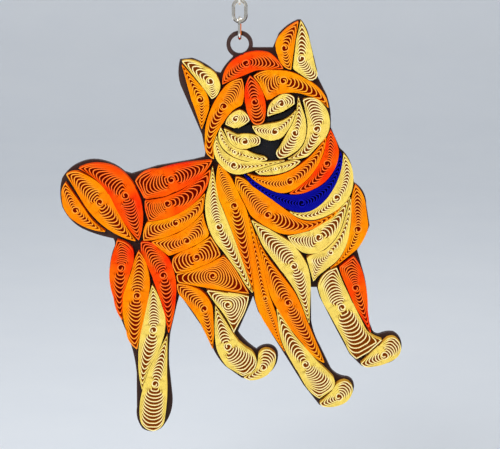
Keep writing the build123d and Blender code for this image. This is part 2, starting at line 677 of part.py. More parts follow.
# Outline of the backing board, which follows the figure: from the bridge beside the ring, round to the right
board_outline = [
    [(-1.0, -2.4), (0.6, -0.8)],
    [(2.0, -0.7)],
    [(6.2, -0.7), (6.45, 0.35), (7.25, 1.9), (8.6, 3.2)],
    [(10.45, 4.25)],
    [(10.85, 4.25), (11.65, 3.0), (12.3, 0.9), (13.1, -1.9), (13.6, -4.4)],
    [(13.65, -5.6), (14.6, -7.7), (15.4, -9.1), (15.9, -11.0), (16.1, -13.2)],
    [(16.1, -14.8), (16.9, -16.5), (17.8, -18.7), (19.3, -20.4), (20.0, -22.3), (20.15, -23.9)],
    [(20.35, -24.9), (21.65, -26.0), (22.55, -28.7), (22.9, -31.0)],
    [(23.15, -32.4), (22.3, -34.6)],
    [(20.95, -36.9), (21.45, -39.2), (22.35, -41.9), (22.8, -44.6), (22.95, -47.6), (23.2, -50.0)],
    [(23.8, -51.7), (24.9, -52.8)],
    [
        (25.6, -52.7), (26.6, -52.4), (27.8, -52.4), (28.8, -53.3), (29.15, -54.6), (28.6, -56.3),
        (26.2, -57.7), (23.9, -58.2), (22.3, -58.1), (21.3, -57.2), (20.2, -56.0), (19.1, -53.9),
        (17.6, -51.1), (16.0, -48.0), (14.7, -45.4),
    ],
    [(14.15, -43.5)],
    [(12.65, -43.5), (12.65, -47.0), (12.75, -50.0), (13.3, -52.4), (14.4, -54.9), (15.4, -57.1)],
    [
        (16.4, -59.1), (17.6, -60.2), (19.0, -60.7), (20.2, -61.2), (20.5, -62.6), (19.8, -64.2),
        (18.2, -65.3), (16.2, -65.7),
    ],
    [
        (14.7, -65.4), (13.4, -63.8), (11.9, -61.8), (10.3, -59.3), (8.8, -56.7), (7.4, -54.3),
        (6.2, -52.5), (4.8, -50.4), (3.6, -48.1),
    ],
    [(2.5, -44.9)],
    [(1.6, -47.0), (0.4, -49.6)],
    [(-0.6, -52.1), (1.2, -54.2)],
    [
        (3.1, -55.7), (4.1, -55.0), (5.2, -54.8), (6.2, -55.2), (6.75, -56.6), (6.3, -58.2),
        (5.2, -59.5), (3.6, -60.4), (1.8, -60.7),
    ],
    [
        (0.5, -60.3), (-1.0, -59.2), (-2.4, -58.2), (-3.6, -56.7), (-4.5, -55.1), (-5.4, -53.2),
        (-6.7, -50.7), (-8.3, -48.1), (-10.0, -45.8),
    ],
    [(-10.95, -44.8)],
    [
        (-11.5, -46.8), (-12.0, -49.2), (-12.7, -52.0), (-13.0, -55.0), (-13.0, -58.5),
        (-12.7, -61.5), (-12.45, -64.0), (-12.7, -66.8), (-13.8, -69.0), (-15.9, -70.3),
        (-17.5, -69.8), (-18.3, -68.2), (-18.4, -66.0), (-18.25, -63.0), (-18.4, -59.5),
        (-18.9, -56.2), (-19.8, -53.0), (-20.8, -50.2),
    ],
    [(-21.7, -48.2), (-22.5, -45.5), (-23.05, -42.8), (-23.1, -40.0), (-22.6, -37.4)],
    [(-22.2, -36.4), (-22.2, -35.2)],
    [
        (-22.5, -34.6), (-25.0, -34.0), (-28.0, -32.85), (-30.2, -31.1), (-31.5, -29.0),
        (-31.85, -26.2), (-31.5, -24.0), (-30.4, -22.6), (-28.6, -21.4), (-26.2, -20.8),
        (-24.0, -21.1), (-22.0, -21.95), (-20.6, -23.0),
    ],
    [(-19.3, -23.4), (-17.4, -22.9), (-14.6, -21.95), (-11.5, -21.3), (-8.0, -20.8)],
    [(-6.0, -20.3)],
    [(-5.8, -19.2), (-6.0, -17.4)],
    [(-6.4, -15.9), (-7.0, -14.6), (-7.75, -12.7), (-9.15, -9.8), (-10.2, -7.0), (-10.55, -4.9)],
    [(-10.3, -2.8)],
    [(-8.4, -2.6), (-6.0, -3.7), (-4.3, -5.0)],
    [(-3.2, -5.3), (-2.5, -4.1)],
]

# Work planes, seen from the front: the back of the board and the face that the paper is glued to
ring_x, ring_z = ring_centre[0] * figure_scale, ring_centre[1] * figure_scale
board_corner = (-ring_x, board_thickness / 2, -hole_drop - ring_z)
board_plane = Plane(origin=board_corner, x_dir=(1, 0, 0), z_dir=(0, -1, 0))
paper_plane = board_plane.offset(board_thickness)


def path(points):
    """Smooth line through the points, or a straight one between two."""
    return Spline(*points) if len(points) > 2 else Line(*points)


def arcs(points):
    """Side of an outline: an arc through every two spans, a line where it's straight or one is left over."""
    pieces = []
    for start in range(0, len(points) - 1, 2):
        run = points[start : start + 3]
        chord = run[-1] - run[0]
        rise = abs((run[1] - run[0]).cross(chord).Z) / chord.length
        pieces.append(ThreePointArc(*run) if rise > least_rise else Line(run[0], run[-1]))
    return pieces


def closed_sides(sides, gap):
    """Sides of an outline moved inwards by gap, each one ending where the next one starts."""
    points = [Vector(x, z) * figure_scale for side in sides for x, z in side]
    count = len(points)
    area = sum(points[i - 1].X * points[i].Y - points[i].X * points[i - 1].Y for i in range(count))
    moved = []
    for i in range(count):
        before = (points[i] - points[i - 1]).normalized()
        after = (points[(i + 1) % count] - points[i]).normalized()
        across = Vector(-before.Y, before.X) * math.copysign(1, area)
        inward = (across + Vector(-after.Y, after.X) * math.copysign(1, area)).normalized()
        moved.append(points[i] + inward * gap / max(inward.dot(across), least_corner))
    starts = [0]
    for side in sides:
        starts.append(starts[-1] + len(side))
    return [moved[start:end] + [moved[end % count]] for start, end in zip(starts, starts[1:])]


def cut_shape(plane, sides, gap, thickness):
    """One flat shape with an upright edge, standing on its plane."""
    with BuildPart() as shape:
        with BuildSketch(plane):
            with BuildLine():
                for side in closed_sides(sides, gap):
                    arcs(side)
            make_face()
        extrude(amount=thickness)
    return shape.part


def slots_along(arm, outline):
    """Three-cornered openings between a roll's turns, spaced along an arm and pointing to its tip."""
    count = max(1, round(arm.length / (slot_spacing * figure_scale)))
    near, far = slot_reach
    slots = []
    for number in range(count):
        reach = arm.length * (near + (far - near) * (number + 1 / 2) / count)
        middle = arm.position_at(reach, position_mode=PositionMode.LENGTH)
        ahead = arm.tangent_at(reach, position_mode=PositionMode.LENGTH)
        half = slot_share * min(edge.distance_to(middle) for edge in outline)
        across = Vector(-ahead.Y, ahead.X) * half
        ahead = ahead * half
        heel = middle - ahead / 2
        slots.append([middle + ahead, heel + across, heel - across])
    return slots


# Rolls of paper strip, each one solid with the opening of its eye and the widest openings between its turns
for name, (eye, sides, arms) in rolls.items():
    outline = [edge for side in closed_sides(sides, seam) for edge in arcs(side)]
    centre = Vector(*eye) * figure_scale
    eye_size = min(eye_radius, eye_share * min(edge.distance_to(centre) for edge in outline))
    ridges = [path([centre, *(Vector(*point) * figure_scale for point in arm)]) for arm in arms]
    with BuildPart() as roll:
        add(cut_shape(paper_plane, sides, seam, paper_height))
        with BuildSketch(paper_plane):
            with Locations(centre):
                RegularPolygon(eye_size, eye_sides)
            for ridge in ridges:
                for corners in slots_along(ridge, outline):
                    Polygon(*corners, align=None)
        extrude(amount=paper_height, mode=Mode.SUBTRACT)
    roll.part.label = name
    export_step(roll.part, f"parts/{name}.step")

# Flat black pieces: the closed eyes and the open mouth
for name, sides in black_shapes.items():
    with BuildPart() as black_piece:
        add(cut_shape(paper_plane, sides, seam, black_paper_height))
    black_piece.part.label = name
    export_step(black_piece.part, f"parts/{name}.step")

# Backing board with its hanging ring
with BuildPart() as backing_board:
    add(cut_shape(board_plane, board_outline, -board_margin, board_thickness))
    with BuildSketch(board_plane):
        with Locations((ring_x, ring_z)):
            Circle(hole_radius + ring_wall)
    extrude(amount=board_thickness)
    with BuildSketch(board_plane):
        with Locations((ring_x, ring_z)):
            Circle(hole_radius)
    extrude(amount=board_thickness, mode=Mode.SUBTRACT)
backing_board.part.label = "backing_board"
export_step(backing_board.part, "parts/backing_board.step")

# Chain: three oval links of wire, each one turned a quarter from the next
for number, (name, facing) in enumerate(link_facings.items(), start=1):
    middle_z = (link_inner_length + wire) / 2 - number * link_step
    with BuildPart() as link:
        with BuildSketch(Plane(origin=(0, 0, middle_z), x_dir=(0, 0, 1), z_dir=facing)):
            SlotOverall(link_inner_length + 2 * wire, link_inner_width + 2 * wire)
            SlotOverall(link_inner_length, link_inner_width, mode=Mode.SUBTRACT)
        extrude(amount=wire / 2, both=True)
        flats = link.faces().filter_by(Axis((0, 0, 0), facing))
        chamfer(flats.edges(), wire / (2 + math.sqrt(2)))
    link.part.label = name
    export_step(link.part, f"parts/{name}.step")
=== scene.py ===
# %% [markdown]
# # A quilled dog on a short chain
#
# Quilling draws with the edge of paper. Narrow strips are rolled on a needle, let go so that they
# loosen, pinched to a leaf shape and glued on edge to a board, side by side, until they fill a
# figure. This lesson dresses the CAD model of such an ornament: a standing dog of about fifty
# rolls on a dark board, hung from three small links. The CAD model says where every piece is and
# how big it is. What it can't give are the turns of each roll, the paper, the light and the
# camera.

# %% Load the CAD frame
import json
import math
import bpy
import numpy as np
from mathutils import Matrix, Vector


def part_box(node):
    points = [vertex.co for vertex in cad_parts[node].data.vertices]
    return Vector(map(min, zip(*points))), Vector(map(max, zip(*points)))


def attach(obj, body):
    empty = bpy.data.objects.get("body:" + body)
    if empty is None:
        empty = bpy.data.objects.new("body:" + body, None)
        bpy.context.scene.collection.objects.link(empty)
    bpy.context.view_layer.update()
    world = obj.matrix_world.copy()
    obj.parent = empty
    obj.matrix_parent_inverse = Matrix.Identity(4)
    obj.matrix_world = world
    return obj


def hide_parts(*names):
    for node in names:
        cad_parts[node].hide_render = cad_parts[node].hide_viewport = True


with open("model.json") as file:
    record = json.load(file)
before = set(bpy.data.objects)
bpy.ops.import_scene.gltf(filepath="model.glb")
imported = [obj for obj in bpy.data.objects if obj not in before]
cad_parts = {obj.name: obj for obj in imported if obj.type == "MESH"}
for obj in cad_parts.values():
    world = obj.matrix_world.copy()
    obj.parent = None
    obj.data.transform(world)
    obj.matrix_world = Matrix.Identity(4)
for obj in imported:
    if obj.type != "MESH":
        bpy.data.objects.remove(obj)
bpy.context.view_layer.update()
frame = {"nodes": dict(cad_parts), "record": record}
MM = 0.001

# %% [markdown]
# ## Colours and nodes
#
# Colours are written as the sRGB hex values that a paint chart gives. Blender's shaders
# work in linear light, so one function turns them over. A second one adds a shader node with its
# settings and its links in a single call, so that a material reads as a list of what it's made
# of. A Mix node has one set of sockets for each kind of value, all with the same names, so its
# colour sockets go by number.

# %% Colours in linear light
def linear(hex_colour):
    """An sRGB hex colour as the linear red, green, blue and alpha of a shader."""
    channels = [int(hex_colour[i : i + 2], 16) / 255 for i in (1, 3, 5)]
    return (*[c / 12.92 if c <= 0.04045 else ((c + 0.055) / 1.055) ** 2.4 for c in channels], 1.0)


print("dark orange in linear light:", [round(c, 3) for c in linear("#ff6a00")])

# %% One node, one call
MIX_SHARE, MIX_FROM, MIX_TO, MIXED = 0, 6, 7, 2


def add_node(tree, kind, inputs=None, **settings):
    """A node of that kind: its settings, and its inputs as values or as other nodes' outputs."""
    node = tree.nodes.new(kind)
    for name, value in settings.items():
        setattr(node, name, value)
    for name, value in (inputs or {}).items():
        if isinstance(value, bpy.types.NodeSocket):
            tree.links.new(value, node.inputs[name])
        else:
            node.inputs[name].default_value = value
    return node


def new_material(name, shader_inputs):
    """A material with one Principled shader and nothing else: the material and its shader."""
    material = bpy.data.materials.new(name)
    material.use_nodes = True
    tree = material.node_tree
    tree.nodes.clear()
    shader = add_node(tree, "ShaderNodeBsdfPrincipled", shader_inputs)
    add_node(tree, "ShaderNodeOutputMaterial", {"Surface": shader.outputs["BSDF"]})
    return material, shader


print("materials that came with the CAD model:", len(bpy.data.materials))

# %% [markdown]
# ## Which face of the paper is seen
#
# Quilling paper is wood pulp of about 120 g/m2, dyed through and slit into strips. Its flat sides
# are smooth. The knife leaves the long edge a little torn and fuzzy, and these cut edges are what
# one sees from the front. Where many turns lie packed together the edges read as one bright band.
# A single edge over an opening catches light on both its corners, and it is painted paler: a
# painted highlight. The strip's mesh will bring two values for each corner: "open", 0 in the pack
# and 1 over an opening, and "lit", 1 at the front and 0 down at the floor sheet. The way the
# surface faces tells a cut edge from a flat side, and the flat sides are painted darker, a painted
# shade. Little light finds its way into a gap half a millimetre wide, so the colour down there is
# painted darker by "lit", a painted shade.

# %% Colour by the face of the paper
# The front is at -Y, so a cut edge has a normal of -1 along Y, and a flat side one of 0. A flat
# side gets the darker side colour, a painted shade.
FACING_FRONT = {"From Min": -0.5, "From Max": -0.9}
# The painted gap shade: a quarter of the way down a gap is as dark as it gets.
GAP_SHADE_DEPTHS = {"From Min": 1.0, "From Max": 0.75}


def paper_faces(tree, place, packed, free_edge_highlight, side, gap_shade_glow_colour):
    """Colour of cut edges, flat sides and gaps, with a painted highlight over openings and a
    painted shade on flat sides and down in gaps, and how far down in a gap a point is.
    """
    openness = add_node(tree, "ShaderNodeAttribute", attribute_name="open")
    lit = add_node(tree, "ShaderNodeAttribute", attribute_name="lit")
    facing = add_node(tree, "ShaderNodeSeparateXYZ", {"Vector": place.outputs["Normal"]})
    cut_edge = add_node(tree, "ShaderNodeMapRange", {"Value": facing.outputs["Y"], **FACING_FRONT})
    gap_shade_glow_share = add_node(tree, "ShaderNodeMapRange", {"Value": lit.outputs["Fac"], **GAP_SHADE_DEPTHS})
    # Over an opening the cut edge is painted paler, a painted highlight.
    edge = add_node(tree, "ShaderNodeMix", {
        MIX_SHARE: openness.outputs["Fac"],
        MIX_FROM: linear(packed),
        MIX_TO: linear(free_edge_highlight),
    }, data_type="RGBA")
    # Flat sides get the darker side colour, a painted shade.
    outside = add_node(tree, "ShaderNodeMix", {
        MIX_SHARE: cut_edge.outputs["Result"],
        MIX_FROM: linear(side),
        MIX_TO: edge.outputs[MIXED],
    }, data_type="RGBA")
    # Down in a gap the colour turns to the deep one, a painted shade.
    colour = add_node(tree, "ShaderNodeMix", {
        MIX_SHARE: gap_shade_glow_share.outputs["Result"],
        MIX_FROM: outside.outputs[MIXED],
        MIX_TO: linear(gap_shade_glow_colour),
    }, data_type="RGBA")
    return colour.outputs[MIXED], gap_shade_glow_share.outputs["Result"]


print("a surface begins to be a cut edge at a normal of", FACING_FRONT["From Min"], "along Y")

# %% [markdown]
# ## Pulp and dye
#
# Real pulp fibres are about 0.03 mm thick, too fine for this picture, so the mottle is drawn
# about eight times as coarse. Dye also takes unevenly along a strip, and turns that lie together
# differ a little in tone, which shows as a slow drift of the hue over a few millimetres. The warm
# colours drift most. A deep blue hardly does, and a small step round the colour circle would turn
# it violet.

# %% Mottle and drift
FIBRE = 0.25 * MM
DYE_CLOUD = 5.0 * MM
# A noise texture seldom leaves this range.
NOISE_RANGE = {"From Min": 0.3, "From Max": 0.7}
MOTTLE = {"To Min": 0.94, "To Max": 1.03}
# The hue input of the node that shifts colours: at 0.5 it changes nothing.
SAME_HUE = 0.5
# The hue drifts a third as far towards yellow as towards red.
LESS_TO_YELLOW = 3


def dyed_pulp(tree, place, colour, drift):
    """The colour with its mottle and drift, and the height of the fibres.

    drift is how far the dye's hue wanders, as a share of the colour circle.
    """
    where = place.outputs["Object"]
    fibres, cloud = (
        add_node(tree, "ShaderNodeTexNoise", {"Vector": where, "Scale": 1 / size, "Detail": detail})
        for size, detail in ((FIBRE, 2.0), (DYE_CLOUD, 1.0))
    )
    hues = {"To Min": SAME_HUE - drift, "To Max": SAME_HUE + drift / LESS_TO_YELLOW}
    mottle, hue = (
        add_node(tree, "ShaderNodeMapRange", {"Value": noise.outputs["Fac"], **NOISE_RANGE, **span})
        for noise, span in ((fibres, MOTTLE), (cloud, hues))
    )
    dyed = add_node(tree, "ShaderNodeHueSaturation", {
        "Color": colour,
        "Hue": hue.outputs["Result"],
        "Value": mottle.outputs["Result"],
    })
    return dyed.outputs["Color"], fibres.outputs["Fac"]


print("fibres are drawn", round(FIBRE / MM, 2), "mm thick")

# %% [markdown]
# ## Dyed quilling paper
#
# Uncoated paper is matt: rough, with hardly any sheen, and its colour stays full in the light.
# Thin dyed paper also lets light through. In a gap that light comes from both walls and makes the
# dark floor glow in the paper's own colour, which is painted in: a painted glow, a weak emission of
# the deep colour down in the gaps. That is why the gaps of an orange roll look deep red and not
# black.

# %% Paper material
MATT = 0.8
FAINT_SHEEN = 0.05
FUZZ_HEIGHT = 0.02 * MM
FUZZ_STRENGTH = 0.25


def slit_paper(name, packed, free_edge_highlight, side, gap_shade_glow_colour, drift):
    """Dyed quilling paper, by the colours of its cut edges, flat sides and deep gaps.

    A packed edge has paper on both sides, and a free one has an opening beside it. The free edge
    colour is a painted highlight, the side colour a painted shade, and the deep colour a painted
    gap shade and painted glow.
    """
    # The emission paints a glow of the deep colour into the gaps: a painted glow.
    material, shader = new_material(name, {
        "Roughness": MATT,
        "Specular IOR Level": FAINT_SHEEN,
        "Emission Color": linear(gap_shade_glow_colour),
    })
    tree = material.node_tree
    place = add_node(tree, "ShaderNodeTexCoord")
    faces, gap_shade_glow_share = paper_faces(tree, place, packed, free_edge_highlight, side, gap_shade_glow_colour)
    dyed, fibres = dyed_pulp(tree, place, faces, drift)
    fuzz = add_node(tree, "ShaderNodeBump", {
        "Height": fibres,
        "Strength": FUZZ_STRENGTH,
        "Distance": FUZZ_HEIGHT,
    })
    tree.links.new(dyed, shader.inputs["Base Color"])
    tree.links.new(gap_shade_glow_share, shader.inputs["Emission Strength"])
    tree.links.new(fuzz.outputs["Normal"], shader.inputs["Normal"])
    return material


# Per paper: the packed colour is its own, the free one a painted highlight, the side one a painted
# shade, and the deep one a painted gap shade and glow.
papers = {
    "orange_paper": slit_paper(
        "orange_quilling_paper",
        packed="#ff9600", free_edge_highlight="#ffaa34", side="#f07800", gap_shade_glow_colour="#681000", drift=0.014,
    ),
    "deep_orange_paper": slit_paper(
        "deep_orange_quilling_paper",
        packed="#fc5e00", free_edge_highlight="#ff8028", side="#e85200", gap_shade_glow_colour="#5c0600", drift=0.014,
    ),
    "cream_paper": slit_paper(
        "cream_quilling_paper",
        packed="#f2d664", free_edge_highlight="#fcecaa", side="#dca838", gap_shade_glow_colour="#6c3204", drift=0.004,
    ),
    "blue_paper": slit_paper(
        "ultramarine_quilling_paper",
        packed="#05058e", free_edge_highlight="#1010a4", side="#040490", gap_shade_glow_colour="#02022c", drift=0.001,
    ),
}
print("papers:", ", ".join(papers))

# %% [markdown]
# ## Reading a roll from the CAD model
#
# Each CAD roll is a plate as high as the strip is wide, with its true outline, a small opening at
# the eye and three-cornered openings that point along the arms to the pinched tips. The front
# face holds all of that: its open edges are the outline and the openings. They tell where the eye
# is and which way the arms run, and so nothing about a roll has to be measured again here.

# %% Edges of a roll's front face
# Corners as near to the front as this, in mm, lie in it.
SAME_PLANE = 0.001


def area(loop):
    """Signed area of a closed line, positive when it runs to the left."""
    x, z = loop.T
    return 0.5 * float(np.sum(x * np.roll(z, -1) - z * np.roll(x, -1)))


def front_loops(roll):
    """Closed edges of the front face, x and z in mm: the outline first, then the openings."""
    spots = [tuple(round(c / MM, 4) for c in vertex.co) for vertex in roll.data.vertices]
    front = min(y for x, y, z in spots)
    sides = set()
    for face in roll.data.polygons:
        corners = [spots[i] for i in face.vertices]
        if max(y for x, y, z in corners) < front + SAME_PLANE:
            sides.update(zip(corners, corners[1:] + corners[:1]))
    onward = {a: b for a, b in sorted(sides) if (b, a) not in sides}
    loops = []
    while onward:
        start, spot = onward.popitem()
        loop = [start]
        while spot != start:
            loop.append(spot)
            spot = onward.pop(spot)
        loops.append(np.array([(x, z) for x, y, z in loop]))
    return sorted(loops, key=lambda loop: -abs(area(loop)))


rolls = {name: node for name, node in frame["nodes"].items() if "_roll" in name}
back_loops = front_loops(rolls["back_roll"])
print(len(rolls), "rolls; the back roll has an outline and", len(back_loops) - 1, "openings")

# %% [markdown]
# ## Where a roll was pinched
#
# A finger and thumb give a roll its tips, and every turn then has its noses on the line from the
# eye to a tip. The tip isn't always the farthest point of the outline, because a roll can bend.
# It is far along the arm, near the arm's line, and the sharpest corner there.

# %% Finding the tips
# Sharpness is judged over this much of the outline on either side, in mm.
TIP_SPAN = 0.9
# What a millimetre off the arm's line costs, and what a needle's tip is worth, in mm along the arm.
OFF_LINE_COST = 0.9
SHARP_GAIN = 3.0


def sharpness(outline):
    """How pointed the outline is at each corner: 0 on a straight stretch, 1 at a needle's tip."""
    steps = np.hypot(*(np.roll(outline, -1, axis=0) - outline).T)
    walked = np.concatenate([[0], np.cumsum(steps)])
    closed = np.vstack([outline, outline[:1]])
    onward, back = (
        np.stack([
            np.interp((walked[:-1] + step) % walked[-1], walked, closed[:, i]) for i in (0, 1)
        ]) - outline.T
        for step in (TIP_SPAN, -TIP_SPAN)
    )
    cosine = np.sum(onward * back, axis=0) / (np.hypot(*onward) * np.hypot(*back))
    return 1 - np.arccos(np.clip(cosine, -1, 1)) / math.pi


def find_tip(outline, ahead, last_slot):
    """The outline's point where the pinch was made: far along the arm, near its line and sharp."""
    rest = outline - last_slot
    off_line = np.abs(rest[:, 0] * ahead[1] - rest[:, 1] * ahead[0])
    merit = rest @ ahead - OFF_LINE_COST * off_line + SHARP_GAIN * sharpness(outline)
    return outline[int(np.argmax(merit))]


print("sharpest corner of the back roll:", round(float(sharpness(back_loops[0]).max()), 2))

# %% Outline, eye and arms of a roll
# The CAD model's eyes are five-cornered, and its openings along the arms three-cornered.
EYE_CORNERS = 5
SLOT_CORNERS = 3
# Openings whose bearings have a cosine over this, so within 45 degrees, belong to one arm.
SAME_ARM = 0.7


def unit(v):
    """v at length 1."""
    return v / np.hypot(*v)


def read_roll(roll):
    """Outline, eye, eye radius and the arms, each a list of points from the eye to a tip."""
    outline, *openings = front_loops(roll)
    if area(outline) < 0:
        outline = outline[::-1]
    eye_loop = next(loop for loop in openings if len(loop) == EYE_CORNERS)
    eye = eye_loop.mean(axis=0)
    slots = [loop.mean(axis=0) for loop in openings if len(loop) == SLOT_CORNERS]
    slots.sort(key=lambda spot: float(np.hypot(*(spot - eye))))
    arms = []
    for spot in slots:
        bearing = unit(spot - eye)
        same = [arm for arm in arms if unit(arm[-1] - eye) @ bearing > SAME_ARM]
        if same:
            same[0].append(spot)
        else:
            arms.append([spot])
    for arm in arms:
        before = arm[-2] if len(arm) > 1 else eye
        arm.append(find_tip(outline, unit(arm[-1] - before), arm[-1]))
    return outline, eye, float(np.hypot(*(eye_loop - eye).T).mean()), arms


for name in ("back_roll", "belly_roll"):
    _, eye, _, arms = read_roll(rolls[name])
    tips = [np.round(arm[-1], 1).tolist() for arm in arms]
    print(name, "has its eye at", np.round(eye, 1).tolist(), "and its tips at", tips)

# %% [markdown]
# ## The ridge of a roll
#
# A roll that is pinched at both ends has a line from tip to tip through its eye, the ridge, on
# which every turn has its two noses. It can bend with the roll, as in a tail or a leg. Drawing
# the turns in plain x and z would have to follow each bend. Measured as "how far along the ridge"
# and "how far out to the side", every roll becomes the same simple leaf, so the outline is read
# in those two measures first.

# %% A rounded line with even steps
# From one station to the next, in mm.
RIDGE_STEP = 0.05
# Points of the curve from one given point to the next, and the fewest stations on a line.
CURVE_STEPS = 40
LEAST_STATIONS = 8


def walked_along(line):
    """Distance from a line's start at each of its points."""
    return np.concatenate([[0], np.cumsum(np.hypot(*np.diff(line, axis=0).T))])


def smooth_line(points):
    """A rounded line through the points, with stations at even steps along it."""
    points = np.array([2 * points[0] - points[1], *points, 2 * points[-1] - points[-2]])
    t = np.linspace(0, 1, CURVE_STEPS, endpoint=False)[:, None]
    runs = []
    for a, b, c, d in zip(points, points[1:], points[2:], points[3:]):
        bend = (2 * a - 5 * b + 4 * c - d) * t**2 + (3 * b - 3 * c + d - a) * t**3
        runs.append(0.5 * (2 * b + (c - a) * t + bend))
    line = np.vstack([*runs, points[-2][None]])
    reach = walked_along(line)
    even = np.linspace(0, reach[-1], max(LEAST_STATIONS, round(reach[-1] / RIDGE_STEP)))
    return np.stack([np.interp(even, reach, line[:, i]) for i in (0, 1)], axis=1)


outline, eye, _, arms = read_roll(rolls["back_roll"])
back_ridge = smooth_line([*arms[0][::-1], eye, *arms[1]])
print("the back roll's ridge is", round(float(walked_along(back_ridge)[-1]), 1), "mm long")

# %% Width of a roll across its ridge
def across(outline, spot, ahead):
    """Where the roll begins and ends on a line across its ridge at a spot, positive to the left."""
    rest = outline - spot
    along = rest @ ahead
    left = rest @ np.array([-ahead[1], ahead[0]])
    along_next, left_next = np.roll(along, -1), np.roll(left, -1)
    crossing = (along > 0) != (along_next > 0)
    share = along[crossing] / (along[crossing] - along_next[crossing])
    reach = np.sort(left[crossing] + share * (left_next[crossing] - left[crossing]))
    spans = [(low, high) for low, high in zip(reach[::2], reach[1::2])]
    return min(spans, key=lambda span: max(span[0], -span[1], 0), default=(0.0, 0.0))


low, high = across(outline, eye, unit(arms[1][0] - eye))
print("the back roll is", round(float(high - low), 1), "mm wide at its eye")

# %% [markdown]
# ## A leaf in ridge measures
#
# The drawn ridge passes through the eye and the tips, but between them a real roll's noses settle
# in the middle of the paper. So they keep to the ridge near the eye and leave it for the middle
# towards the tips. The widths are read at stations that crowd near the tips, where the outline
# turns fastest, and are smoothed a little, as stiff paper does by itself.

# %% Leaf
# Stations on each arm.
STATIONS = 90
# The CAD model leaves a seam between rolls. The strip fills most of its half of it, in mm.
SEAM_FILL = 0.04
HEADING_PASSES = 12
WIDTH_PASSES = 3
# Shares of an arm: where the noses leave the ridge, and how much further they reach the middle.
LEAVES_RIDGE_AT = 0.4
IN_THE_MIDDLE_AFTER = 0.5


def averaged(values, passes):
    """Values with each one drawn towards its two neighbours, but for the ends."""
    for _ in range(passes):
        values[1:-1] = (values[:-2] + 2 * values[1:-1] + values[2:]) / 4
    return values


def smooth_step(x):
    """0 to 1 with level ends."""
    x = np.clip(x, 0, 1)
    return x * x * (3 - 2 * x)


def leaf(outline, eye, arms):
    """A pinched roll in ridge measures: a place function, arm lengths, stations and widths."""
    backward, forward = arms
    ridge = smooth_line([*backward[::-1], eye, *forward])
    reach = walked_along(ridge)
    at_eye = float(reach[int(np.argmin(np.hypot(*(ridge - eye).T)))])
    heading = np.gradient(ridge, axis=0)
    heading /= np.hypot(*heading.T)[:, None]
    for _ in range(HEADING_PASSES):
        heading = averaged(heading, 1)
        heading /= np.hypot(*heading.T)[:, None]
    lengths = (at_eye, float(reach[-1]) - at_eye)

    def on_ridge(along, line):
        return np.stack([np.interp(along + at_eye, reach, line[:, i]) for i in (0, 1)], axis=-1)

    arm_share = np.sin(np.linspace(-math.pi / 2, math.pi / 2, 2 * STATIONS + 1))
    spots = np.where(arm_share < 0, arm_share * lengths[0], arm_share * lengths[1])
    spans = np.array([
        across(outline, on_ridge(s, ridge), unit(on_ridge(s, heading))) for s in spots
    ])
    spans[0] = spans[-1] = 0.0
    spans = averaged(spans, WIDTH_PASSES)
    leaving = smooth_step((np.abs(arm_share) - LEAVES_RIDGE_AT) / IN_THE_MIDDLE_AFTER)
    middle = spans.mean(axis=1) * leaving
    widths = np.maximum(np.stack([spans[:, 1] - middle, middle - spans[:, 0]], axis=1), 0)
    widths[1:-1] += SEAM_FILL

    def place(along, out):
        ahead = on_ridge(along, heading)
        out = out + np.interp(along, spots, middle)
        left = np.stack([-ahead[..., 1], ahead[..., 0]], axis=-1)
        return on_ridge(along, ridge) + left * out[..., None]

    return place, lengths, spots, widths


print("arms of the back roll:", [round(length, 1) for length in leaf(outline, eye, arms)[1]], "mm")

# %% [markdown]
# ## One strip, many turns
#
# A roll is a single strip in a spiral. Its outer end is glued down on a long side, and its inner
# end curls up in the eye, where the needle held it. Between the two it keeps to one turn around
# all its noses and steps in to the next turn along one side. Insetting the outline again and
# again would give closed rings instead, with no ends and no steps between them. An angle that
# runs round and round, and a turn number that rises in short steps, describe the real strip,
# whatever the roll's shape.

# %% Angle and turn along a strip
TURN_STATIONS = 96
# In turns: from a nose to the middle of a long side, the step in to the next turn, and the hook.
OUTER_END = 0.25
STEP_IN = 0.2
HOOK_TURNS = 0.6
# How much smaller than the ring of the eye the hook is at its end, as a share.
HOOK_CLOSES = 0.62


def winding(turns):
    """Angle and turn number at every station of a strip, and its size as its end curls up."""
    stations = np.arange(round(TURN_STATIONS * (turns + 1 + HOOK_TURNS)))
    whole, part = np.divmod(stations / TURN_STATIONS, 1)
    turn = np.minimum(whole + smooth_step((part - 1 + STEP_IN) / STEP_IN), turns)
    curled = smooth_step((stations / TURN_STATIONS - turns - 1 + STEP_IN) / (HOOK_TURNS + STEP_IN))
    return 2 * math.pi * (part - OUTER_END), turn, 1 - HOOK_CLOSES * curled


print("a strip of eight turns is drawn with", len(winding(8)[0]), "stations")

# %% [markdown]
# ## Pinched and broad ends
#
# Most rolls were pinched at both ends, but a teardrop's round end, or the foot of a leg, is
# broad. The width just before an end tells the two apart. In a pinched tip the noses are pointed
# and stand closer together towards the eye. At a broad end they are full and evenly spaced, and
# the outer two or three turns still show the roll's corners.

# %% Ends
# The share of the arm at which a roll is judged.
NEAR_END = 0.9
# Under this share of its width at the eye a roll is pinched, and at twice as much it is broad.
PINCHED = 0.35


def blunt_ends(lengths, spots, widths):
    """How broad a roll is just before each end: 0 for a pinched tip, 1 for a broad end."""
    at_eye = sum(float(np.interp(0, spots, side)) for side in widths.T)
    near_ends = [
        sum(np.interp(way * NEAR_END * length, spots, side) for side in widths.T)
        for way, length in zip((-1, 1), lengths)
    ]
    return [smooth_step((width / at_eye - PINCHED) / PINCHED) for width in near_ends]


for name in ("back_roll", "rear_foot_roll"):
    outline, eye, _, arms = read_roll(rolls[name])
    print(name, "is broad at its ends by", np.round(blunt_ends(*leaf(outline, eye, arms)[1:]), 2))

